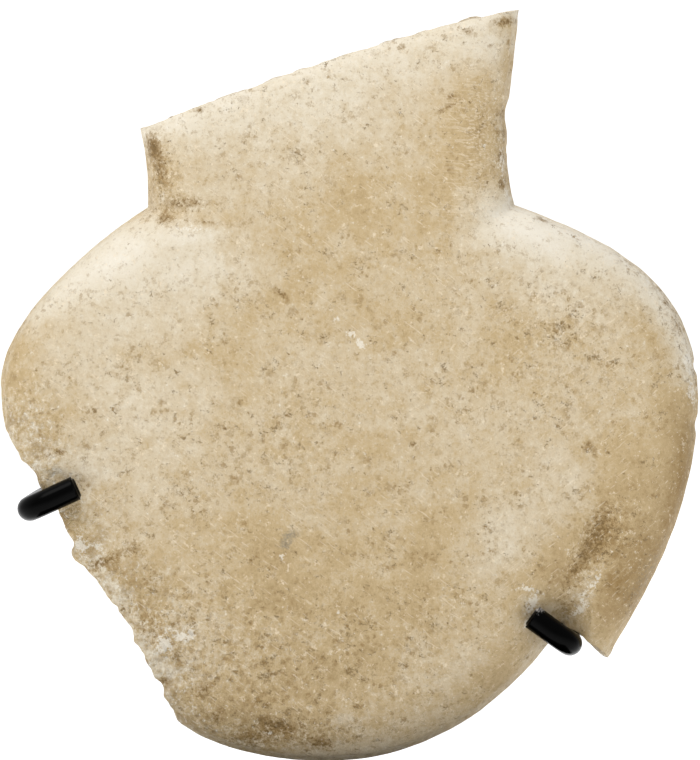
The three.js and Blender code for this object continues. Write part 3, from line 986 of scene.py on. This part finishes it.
def marble(colours):
    """Cream marble. Its shade is patina less cleaning, plus noise from clouds down to grit; these marks also
    hold painted shade and painted highlight. Over that come brown freckles, specks and flecks, light grains,
    soil in pits and hollows with painted shade in the arm's fold, white chips with painted highlight, grey
    stains with painted shade on the arm's edge, and scratches."""
    finish = Finish(bpy.data.materials.new("worn_marble"))
    place = finish.millimetres()
    loose = finish.warped(place, 1.3, 0.45)
    stone = finish.noise(place, 0.3, 6.0, 0.9)
    cloud = finish.noise(place, 0.055, 3.0, 0.55)
    crumb = finish.noise(place, 1.3, 3.0, 0.8)
    grit = finish.noise(place, 2.6, 2.0, 0.7)
    mottle = finish.noise(loose, 0.5, 2.0, 0.5)
    ragged = finish.warped(place, 3.0, 0.4)
    broken = finish.mask("broken")
    clean = finish.mask("clean")
    soil_and_shade = finish.mask("dirt")
    speckle = finish.mask("speckle")

    # The patina marks also hold painted shade and the cleaning marks painted highlight, so both paint light
    # into this tone
    shade = finish.sum(
        0.515,
        finish.times(finish.mask("patina"), 0.21),
        finish.times(clean, -0.33),
        finish.centred(cloud, 0.2),
        finish.centred(mottle, 0.24),
        finish.centred(stone, 0.45),
        finish.centred(grit, 0.08),
        finish.times(finish.centred(crumb, 0.85), finish.sum(0.25, broken, finish.times(speckle, 0.5))),
    )
    shades = ((0.0, colours.fresh), (0.32, colours.pale), (0.62, colours.tan), (1.0, colours.freckle))
    colour = finish.shades(shade, shades)

    clusters = finish.ramp(finish.noise(place, 0.33, 3.0, 0.6), 0.48, 0.68)
    clusters = finish.sum(finish.times(clusters, 0.8), speckle, finish.times(soil_and_shade, 0.6), 0.3)
    clusters = finish.sum(clusters, finish.times(clean, -0.4))
    freckles = finish.sum(finish.noise(ragged, 0.9, 4.0, 0.85), finish.centred(clusters, 0.05))
    freckles = finish.ramp(freckles, 0.53, 0.65)
    colour = finish.tint(colour, freckles, 0.42, colours.freckle)
    specks = finish.dots(ragged, 1.2, 0.42, 0.5, finish.centred(grit, 5.0))
    specks = finish.times(specks, finish.ramp(clusters, 0.0, 1.2))
    colour = finish.tint(colour, specks, 0.68, colours.freckle)
    crumbs = finish.sum(finish.noise(ragged, 1.1, 4.0, 0.8), finish.times(speckle, 0.03))
    crumbs = finish.ramp(crumbs, 0.59, 0.68)
    colour = finish.tint(colour, crumbs, 0.62, colours.grain)

    flecks = finish.noise(finish.turned(ragged, 15, (1.3, 1.0, 1.0)), 0.8, 5.0, 0.9)
    flecks = finish.sum(flecks, finish.times(speckle, 0.03), finish.centred(clusters, 0.03))
    flecks = finish.ramp(flecks, 0.61, 0.66)
    colour = finish.tint(colour, flecks, 0.85, colours.freckle)

    blotches = finish.ramp(finish.noise(loose, 0.42, 3.0, 0.6), 0.5, 0.64)
    colour = finish.tint(colour, finish.times(blotches, broken), 0.55, colours.freckle)
    # brown halo round the soil marks, and so painted shade in the arm's fold too
    halo = finish.ramp(finish.sum(soil_and_shade, finish.centred(crumb, 2.2)), 0.1, 1.1)
    colour = finish.tint(colour, halo, 0.72, colours.freckle)
    # soil in pits and hollows, with painted shade where the marks hold it
    dust_and_shade = finish.sum(finish.times(soil_and_shade, 0.75), finish.centred(grit, 2.4), finish.times(broken, 0.1))
    dust_and_shade = finish.times(finish.ramp(dust_and_shade, 0.4, 1.1), finish.ramp(finish.sum(soil_and_shade, broken), 0.02, 0.35))
    colour = finish.tint(colour, dust_and_shade, 0.85, colours.dirt)
    # grey stains, and painted shade along the arm's outer edge
    stain_and_shade = finish.ramp(finish.sum(finish.mask("grey"), finish.centred(grit, 1.6)), 0.3, 1.3)
    colour = finish.tint(colour, stain_and_shade, 1.0, colours.grey)

    # white chips, with painted highlight where the marks hold it
    chipped_and_highlit = finish.sum(finish.mask("fresh"), finish.centred(crumb, -2.2), finish.centred(grit, -1.0))
    chipped_and_highlit = finish.sum(chipped_and_highlit, finish.times(broken, 0.22))
    chipped_and_highlit = finish.ramp(chipped_and_highlit, 0.4, 0.85)
    colour = finish.tint(colour, chipped_and_highlit, 0.75, colours.fresh)

    across = finish.step("ShaderNodeSeparateXYZ", {0: place})
    to_right = finish.ramp(across, 10.0, 24.0)
    to_left = finish.ramp(to_right, 1.0, 0.0, 0.3)
    falling = finish.streaks(place, 37, 0.22, 2.0, 0.64, 0.76)
    rising = finish.streaks(place, -38, 0.22, 1.8, 0.64, 0.76)
    level = finish.streaks(place, 4, 0.22, 3.0, 0.5, 0.66)
    scratches = finish.sum(
        finish.times(falling, to_left),
        finish.times(rising, to_right),
        finish.times(level, finish.mask("grinding")),
    )
    colour = finish.tint(colour, scratches, 0.4, colours.grain)

    height = finish.sum(
        finish.centred(stone, 0.14),
        finish.times(finish.centred(crumb, 0.45), finish.sum(0.15, broken)),
        finish.times(flecks, -0.05),
        finish.times(dust_and_shade, -0.05),
        finish.times(scratches, -0.015),
    )
    roughness = finish.sum(
        0.52,
        finish.times(broken, 0.2),
        finish.times(dust_and_shade, 0.15),
        finish.centred(stone, 0.25),
    )
    return finish.surface(height, Base_Color=colour, Roughness=roughness, Specular_IOR_Level=0.32)


def black_paint(form):
    """Satin black paint: a fine uneven coat, dull in places, with grey scuffs on the marked edges."""
    finish = Finish(bpy.data.materials.new("satin_black"))
    place = finish.millimetres()
    coat = finish.noise(place, 2.2, 3.0, 0.6)
    dull = finish.noise(place, 0.25, 3.0, 0.6)
    worn = finish.sum(finish.mask("scuff"), finish.centred(finish.noise(place, 3.0, 3.0, 0.7), 1.6))
    worn = finish.ramp(worn, 0.55, 0.8)
    colour = finish.tint(opaque(form.paint), worn, 0.8, form.scuff)
    height = finish.sum(finish.centred(coat, 0.008), finish.times(worn, -0.03))
    roughness = finish.sum(0.1, finish.times(dull, 0.15), finish.times(worn, 0.4))
    return finish.surface(height, Base_Color=colour, Roughness=roughness, Specular_IOR_Level=0.05)


FLOOR_GLOW = 0.8


def pale_floor(colour):
    """Plain pale floor, lit a little from within so that it stays even far away."""
    finish = Finish(bpy.data.materials.new("pale_floor"))
    height = finish.noise(finish.millimetres(), 0.02)
    glow = {"Emission_Color": opaque(colour), "Emission_Strength": FLOOR_GLOW}
    return finish.surface(height, Base_Color=opaque(colour), Roughness=0.9, **glow)


# Pieces


def add_mesh(name, points, faces, material, masks=None):
    """A smooth mesh object at the origin, with its masks as attributes of its points."""
    mesh = bpy.data.meshes.new(name)
    mesh.from_pydata(points.tolist(), [], faces)
    mesh.polygons.foreach_set("use_smooth", np.ones(len(faces), bool))
    for mask, values in (masks or {}).items():
        mesh.attributes.new(mask, "FLOAT", "POINT").data.foreach_set("value", values.astype(np.float32))
    mesh.materials.append(material)
    mesh.update()
    piece = bpy.data.objects.new(name, mesh)
    bpy.context.scene.collection.objects.link(piece)
    return piece


def add_piece(node, name, slot, *mesh):
    """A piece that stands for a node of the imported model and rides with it."""
    piece = add_mesh(name, *mesh)
    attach(piece, BODY)
    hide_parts(node)
    return piece


def closed_rings(rings):
    """Faces that join each ring of points to the next, with a middle point and a fan at either end."""
    count, sides, _ = rings.shape
    points = np.vstack([rings.reshape(-1, 3), rings[0].mean(0), rings[-1].mean(0)])
    number = np.arange(count * sides).reshape(count, sides)
    after = np.roll(number, -1, axis=1)
    quads = np.stack([number[:-1], after[:-1], after[1:], number[1:]], -1).reshape(-1, 4)
    first, last = count * sides, count * sides + 1
    start = np.column_stack([after[0], number[0], np.full(sides, first)])
    end = np.column_stack([number[-1], after[-1], np.full(sides, last)])
    return points, quads.tolist() + start.tolist() + end.tolist()


def painted(form):
    """The black paint, made once and shared."""
    return bpy.data.materials.get("satin_black") or black_paint(form)


def hook_line(name, form):
    """Centre line of a hook: finger on the front, bend, side past the edge, bend, and leg to the rod."""
    hook = HOOKS[name]
    radius = form.wire_diameter / 2
    bend = form.bend_radius
    front_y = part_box(name)[0].y + radius
    rod_x = (ROD_LOW.x + ROD_HIGH.x) / 2
    rod_y = (ROD_LOW.y + ROD_HIGH.y) / 2
    inward = np.array([math.cos(hook["angle"]), math.sin(hook["angle"])])
    reach = (rod_x - hook["side"][0]) / inward[0]
    lean = hook["closing"] / (rod_y - front_y)

    def place(distance, y):
        right, up = hook["side"] + inward * distance
        lift = form.lift * (y - front_y) / (rod_y - front_y)
        return np.array([right, y, IDOL_LOW.z + up + lift])

    finger_end = place(bend, front_y)
    side_start = place(lean * bend, front_y + bend)
    side_end = place(hook["closing"] - lean * bend, rod_y - bend)
    leg_start = place(hook["closing"] + bend, rod_y)
    parts = (
        bezier((place(hook["finger"], front_y), finger_end), np.linspace(0, 1, 14)),
        bezier((finger_end, place(0, front_y), side_start), np.linspace(0, 1, 17)[1:]),
        bezier((side_start, side_end), np.linspace(0, 1, 12)[1:]),
        bezier((side_end, place(hook["closing"], rod_y), leg_start), np.linspace(0, 1, 17)[1:]),
        bezier((leg_start, place(reach, rod_y)), np.linspace(0, 1, 50)[1:]),
    )
    across = np.array([-inward[1], 0, inward[0]])
    return np.vstack(parts), across


WIRE_SIDES = 28
TIP_CHAMFER = 0.45 * MM
BRAZE = {"height": 0.9 * MM, "reach": 0.7 * MM}
SCUFF_REACH = 1.3 * MM


def to_points(values):
    """A value for each ring of the wire, given to the ring's points and to the middle points of both ends."""
    return np.append(np.repeat(values, WIRE_SIDES), values[[0, -1]])


def hook_surface(name, form):
    """A round section carried along the hook's line: its cut end has a small chamfer, and it swells towards
    the rod that it is brazed to, as exp(-distance over reach)."""
    line, across = hook_line(name, form)
    radius = form.wire_diameter / 2
    rod_radius = (ROD_HIGH.x - ROD_LOW.x) / 2
    course = np.gradient(line, axis=0)
    course /= np.linalg.norm(course, axis=1)[:, None]
    walk = np.append(0, np.cumsum(np.linalg.norm(np.diff(line, axis=0), axis=1)))
    to_rod = np.clip(walk[-1] - walk - rod_radius, 0, None)
    swell = radius + BRAZE["height"] * np.exp(-to_rod / BRAZE["reach"])
    swell = np.minimum(swell, rod_radius - 0.2 * MM)
    tip = np.array([TIP_CHAMFER * (1 - math.cos(t)) for t in np.radians((0, 45))])
    tip_shift = np.array([0.0, TIP_CHAMFER * (1 - math.sin(math.radians(45)))])
    cut = line[0] + course[0] * tip_shift[:, None]
    line = np.vstack([cut, line[:1] + course[:1] * TIP_CHAMFER, line[1:]])
    course = np.vstack([course[:1], course[:1], course])
    swell = np.concatenate([radius - TIP_CHAMFER + tip, swell])
    side = np.cross(course, across)
    turn = np.arange(WIRE_SIDES) / WIRE_SIDES * 2 * np.pi
    spokes = side[:, None] * np.cos(turn)[:, None] + across * np.sin(turn)[:, None]
    rings = line[:, None] + spokes * swell[:, None, None]
    points, faces = closed_rings(rings)
    walk = np.concatenate([[0, 0], walk])
    upper = np.clip(points[:, 2] - to_points(line[:, 2]), 0, None) / radius
    near_tip = np.exp(-to_points(walk) / SCUFF_REACH)
    return points, faces, {"scuff": near_tip * upper * HOOKS[name]["scuff"]}


def lathe(profile, centre, sides):
    """Rings of a profile of (radius, height) pairs turned about an upright axis."""
    turn = np.arange(sides) / sides * 2 * np.pi
    radius, height = np.array(profile).T
    x = centre[0] + radius[:, None] * np.cos(turn)
    y = centre[1] + radius[:, None] * np.sin(turn)
    return np.dstack([x, y, np.broadcast_to(height[:, None], x.shape)])


def rod_surface():
    """The upright rod: a turned profile with a chamfered top and a small fillet of paint at the foot."""
    radius = (ROD_HIGH.x - ROD_LOW.x) / 2
    centre = ((ROD_LOW.x + ROD_HIGH.x) / 2, (ROD_LOW.y + ROD_HIGH.y) / 2)
    chamfer = 0.6 * MM
    fillet = 0.7 * MM
    bend = np.radians(np.linspace(0, 90, 6))
    foot = [(radius + fillet * (1 - math.sin(t)), FOOT_HIGH.z + fillet * (1 - math.cos(t))) for t in bend]
    heights = np.linspace(FOOT_HIGH.z + 2 * fillet, ROD_HIGH.z - 2 * chamfer, 40)
    top = [(radius - chamfer * (1 - math.cos(t)), ROD_HIGH.z - chamfer * (1 - math.sin(t))) for t in bend]
    profile = [(radius + fillet, ROD_LOW.z)] + foot + [(radius, h) for h in heights] + top
    points, faces = closed_rings(lathe(profile, centre, 40))
    return points, faces, {"scuff": 0.3 * np.clip((points[:, 2] - ROD_HIGH.z) / (0.5 * MM) + 1, 0, 1)}


def rounded_plan(half, corner, steps):
    """A rectangle with round corners, counter-clockwise: four quarter circles, and straights between them."""
    turn = np.concatenate([np.linspace(k, k + 90, steps) for k in (0, 90, 180, 270)])
    turn = np.radians(turn)
    sign = np.repeat([(1, 1), (-1, 1), (-1, -1), (1, -1)], steps, axis=0)
    return sign * (np.array(half) - corner) + corner * np.column_stack([np.cos(turn), np.sin(turn)])


def foot_surface(form):
    """The foot plate: the round-cornered plan carried from the underside over rounded edges to the top."""
    half = ((FOOT_HIGH.x - FOOT_LOW.x) / 2, (FOOT_HIGH.y - FOOT_LOW.y) / 2)
    bevel = form.foot_bevel
    bend = np.radians(np.linspace(0, 90, 7))
    low = [(bevel * (1 - math.sin(t)), FOOT_LOW.z + bevel * (1 - math.cos(t))) for t in bend]
    high = [(bevel * (1 - math.cos(t)), FOOT_HIGH.z - bevel * (1 - math.sin(t))) for t in bend]
    inner = 0.9 * form.foot_corner
    rings = []
    for inset, z in [(inner, FOOT_LOW.z), *low, *high, (inner, FOOT_HIGH.z)]:
        plan = rounded_plan(np.array(half) - inset, form.foot_corner - inset, 12)
        rings.append(np.column_stack([plan, np.full(len(plan), z)]))
    points, faces = closed_rings(np.array(rings))
    upper_edge = [0] + [0] * len(low) + [1] * len(high) + [0]
    edge = np.append(np.repeat(upper_edge, len(plan)), (0, 0))
    return points, faces, {"scuff": 0.25 * edge}


class MARBLE_IDOL_OT_idol(bpy.types.Operator):
    """Make the marble idol"""

    bl_idname = "marble_idol.idol"
    bl_label = "Marble idol"

    def execute(self, context):
        points, faces, masks = idol_surface(context.scene.idol_form)
        finish = marble(context.scene.marble_finish)
        add_piece("idol", "carved_idol", "marble", points, faces, finish, masks)
        return {"FINISHED"}


class MARBLE_IDOL_OT_hooks(bpy.types.Operator):
    """Make both hooks of the cradle"""

    bl_idname = "marble_idol.hooks"
    bl_label = "Wire hooks"

    def execute(self, context):
        form = context.scene.cradle_form
        for name in HOOKS:
            points, faces, masks = hook_surface(name, form)
            add_piece(name, f"wire_{name}", "black_paint", points, faces, painted(form), masks)
        return {"FINISHED"}


class MARBLE_IDOL_OT_rod(bpy.types.Operator):
    """Make the upright rod of the cradle"""

    bl_idname = "marble_idol.rod"
    bl_label = "Upright rod"

    def execute(self, context):
        points, faces, masks = rod_surface()
        finish = painted(context.scene.cradle_form)
        add_piece("upright_rod", "painted_rod", "black_paint", points, faces, finish, masks)
        return {"FINISHED"}


class MARBLE_IDOL_OT_foot(bpy.types.Operator):
    """Make the foot plate of the cradle"""

    bl_idname = "marble_idol.foot"
    bl_label = "Foot plate"

    def execute(self, context):
        form = context.scene.cradle_form
        points, faces, masks = foot_surface(form)
        add_piece("foot_plate", "painted_foot", "black_paint", points, faces, painted(form), masks)
        return {"FINISHED"}


# Stage

IMAGE_SIZE = (700, 760)
LOWEST_ROW = 761.0  # pixel row of the idol's lowest point
MIDDLE_COLUMN = 349.5  # pixel column of the idol's middle line
SENSOR = 36.0
KEY_PLACE = (-0.08, -0.27, 0.52)
KEY_SIZE = (0.5, 0.35)
KEY_COLOUR = (1.0, 0.985, 0.96)


def add_light(name, place, aim, size, power, colour):
    """A soft rectangular light that looks at a point."""
    data = bpy.data.lights.new(name, "AREA")
    data.shape = "RECTANGLE"
    data.size, data.size_y = size
    data.energy = power
    data.color = colour
    light = bpy.data.objects.new(name, data)
    light.location = place
    light.rotation_euler = (aim - light.location).to_track_quat("-Z", "Y").to_euler()
    bpy.context.scene.collection.objects.link(light)


def add_camera(form):
    """A camera square to the idol, framed as the picture is."""
    width, height = IMAGE_SIZE
    data = bpy.data.cameras.new("camera")
    data.sensor_width = SENSOR
    data.lens = SENSOR * form.camera_distance / (height * form.pixel)
    camera = bpy.data.objects.new("camera", data)
    right = (width / 2 - MIDDLE_COLUMN) * form.pixel
    up = (LOWEST_ROW - height / 2) * form.pixel
    camera.location = (right, IDOL_MIDDLE_Y - form.camera_distance, IDOL_LOW.z + up)
    camera.rotation_euler = (math.radians(90), 0, 0)
    bpy.context.scene.collection.objects.link(camera)
    bpy.context.scene.camera = camera


def add_floor(form):
    """A wide pale floor that curves up into a low wall all round, as a turned profile."""
    flat, wall, bend = 2.6, 1.2, 0.6
    turn = np.radians(np.linspace(0, 90, 12))
    curve = [(flat + bend * math.sin(t), bend * (1 - math.cos(t))) for t in turn]
    profile = [(0.02, 0.0), (0.5, 0.0), (1.5, 0.0)] + curve + [(flat + bend, bend + wall)]
    rings = lathe(profile, (0, 0), 96)
    count, sides, _ = rings.shape
    number = np.arange(count * sides).reshape(count, sides)
    after = np.roll(number, -1, axis=1)
    quads = np.stack([number[:-1], number[1:], after[1:], after[:-1]], -1).reshape(-1, 4)
    hub = np.column_stack([number[0], after[0], np.full(sides, count * sides)])
    points = np.vstack([rings.reshape(-1, 3), (0, 0, 0)])
    floor = add_mesh("floor", points, quads.tolist() + hub.tolist(), pale_floor(form.floor))
    floor.visible_diffuse = False
    floor.visible_glossy = False


def pale_sky(form):
    """Even white light all round, stronger from behind on the left and from below, as from a pale backdrop
    and table."""
    sky = Finish(bpy.data.worlds.new("sky"))
    way = sky.step("ShaderNodeSeparateXYZ", {0: sky.step("ShaderNodeTexCoord", {})})
    to_left = sky.times(way.node.outputs["X"], -0.6)
    backwards = sky.sum(way.node.outputs["Y"], to_left)
    behind = sky.ramp(backwards, -0.3, 0.5, form.sky, form.sky + form.backdrop)
    below = sky.ramp(way.node.outputs["Z"], 0.1, -0.7, 0.0, form.bounce)
    white = {"Color": opaque((1, 1, 1)), "Strength": sky.sum(behind, below)}
    sky.end("ShaderNodeOutputWorld", sky.step("ShaderNodeBackground", white))
    return sky.owner


class MARBLE_IDOL_OT_stage(bpy.types.Operator):
    """Make the camera, the light and the pale floor"""

    bl_idname = "marble_idol.stage"
    bl_label = "Stage"

    def execute(self, context):
        form = context.scene.stage_form
        add_camera(form)
        add_floor(form)
        aim = (IDOL_LOW + IDOL_HIGH) / 2
        add_light("key", KEY_PLACE, aim, KEY_SIZE, form.key_power, KEY_COLOUR)
        context.scene.world = pale_sky(form)
        context.scene.view_settings.view_transform = "Standard"
        return {"FINISHED"}


class MARBLE_IDOL_PT_panel(bpy.types.Panel):
    """Lists the pieces and their sizes and colours"""

    bl_idname = "MARBLE_IDOL_PT_panel"
    bl_label = "Marble Idol"
    bl_space_type = "VIEW_3D"
    bl_region_type = "UI"
    bl_category = "Idol"

    def draw(self, context):
        for maker in MAKERS:
            self.layout.operator(maker.bl_idname)
        for name in FORMS:
            form = getattr(context.scene, name)
            for setting in form.bl_rna.properties:
                if setting.identifier not in ("rna_type", "name"):
                    self.layout.prop(form, setting.identifier)


FORMS = {
    "idol_form": IdolForm,
    "marble_finish": MarbleFinish,
    "cradle_form": CradleForm,
    "stage_form": StageForm,
}
MAKERS = (
    MARBLE_IDOL_OT_stage,
    MARBLE_IDOL_OT_idol,
    MARBLE_IDOL_OT_hooks,
    MARBLE_IDOL_OT_rod,
    MARBLE_IDOL_OT_foot,
)
CLASSES = (*FORMS.values(), *MAKERS, MARBLE_IDOL_PT_panel)


def register():
    """Registers the classes and puts their settings on the scene."""
    for item in CLASSES:
        bpy.utils.register_class(item)
    for name, form in FORMS.items():
        setattr(bpy.types.Scene, name, PointerProperty(type=form))


def unregister():
    """Takes the settings and the classes away again."""
    for name in FORMS:
        delattr(bpy.types.Scene, name)
    for item in reversed(CLASSES):
        bpy.utils.unregister_class(item)


def main():
    """Makes the stage and every piece."""
    register()
    bpy.ops.marble_idol.stage()
    bpy.ops.marble_idol.idol()
    bpy.ops.marble_idol.hooks()
    bpy.ops.marble_idol.rod()
    bpy.ops.marble_idol.foot()


if __name__ == "__main__":
    main()
